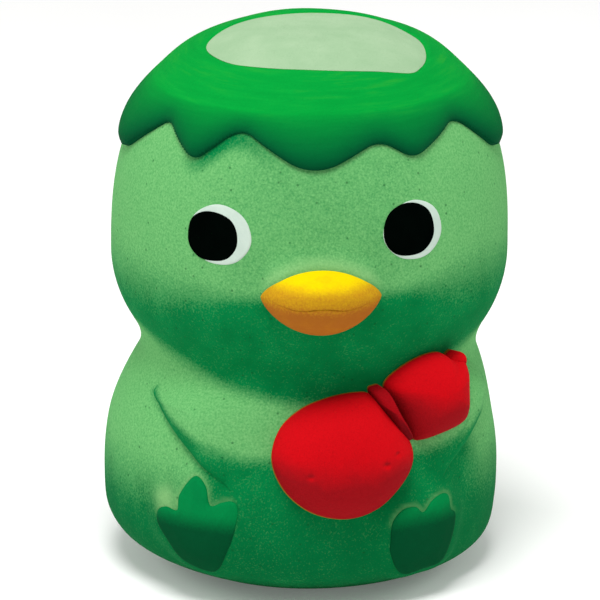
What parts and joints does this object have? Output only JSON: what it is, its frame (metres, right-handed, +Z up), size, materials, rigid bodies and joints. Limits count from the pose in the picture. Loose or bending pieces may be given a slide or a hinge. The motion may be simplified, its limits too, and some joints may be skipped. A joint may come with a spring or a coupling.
{
  "type": "figurine coin bank",
  "caption": "Hollow painted coin bank: a sitting chick in a jagged cap with a water dish on its crown, hugging a gourd, with a pull-out base stopper.",
  "frame": {"origin": "centre of the flat ring that the bank stands on", "axes": "+Z up through the crown, -Y the chick's front, +X the chick's left"},
  "size_m": [0.073, 0.0802, 0.1],
  "materials": {
    "skin_green": "matte",
    "cap_green": "matte",
    "dish_pale": "matte",
    "eye_white": "matte",
    "pupil_black": "matte",
    "bill_yellow": "matte",
    "bill_ochre": "matte",
    "gourd_red": "matte",
    "band_red": "matte",
    "foot_green": "matte",
    "stopper_rubber": "matte"
  },
  "bodies": {
    "bank": {"body_shell": "skin_green", "right_wing": "skin_green", "left_wing": "skin_green", "cap": "cap_green", "dish": "dish_pale", "left_eye_white": "eye_white", "right_eye_white": "eye_white", "left_pupil": "pupil_black", "right_pupil": "pupil_black", "upper_bill": "bill_yellow", "lower_bill": "bill_ochre", "gourd_lower_bulb": "gourd_red", "gourd_upper_bulb": "gourd_red", "gourd_waist_band": "band_red", "gourd_stem": "gourd_red", "right_foot": "foot_green", "left_foot": "foot_green"},
    "stopper": {"base_stopper": "stopper_rubber"}
  },
  "joints": [
    {"name": "stopper_pull", "type": "slide", "parent": "bank", "child": "stopper", "axis": [0, 0, -1], "range_m": [0, 0.03]}
  ]
}
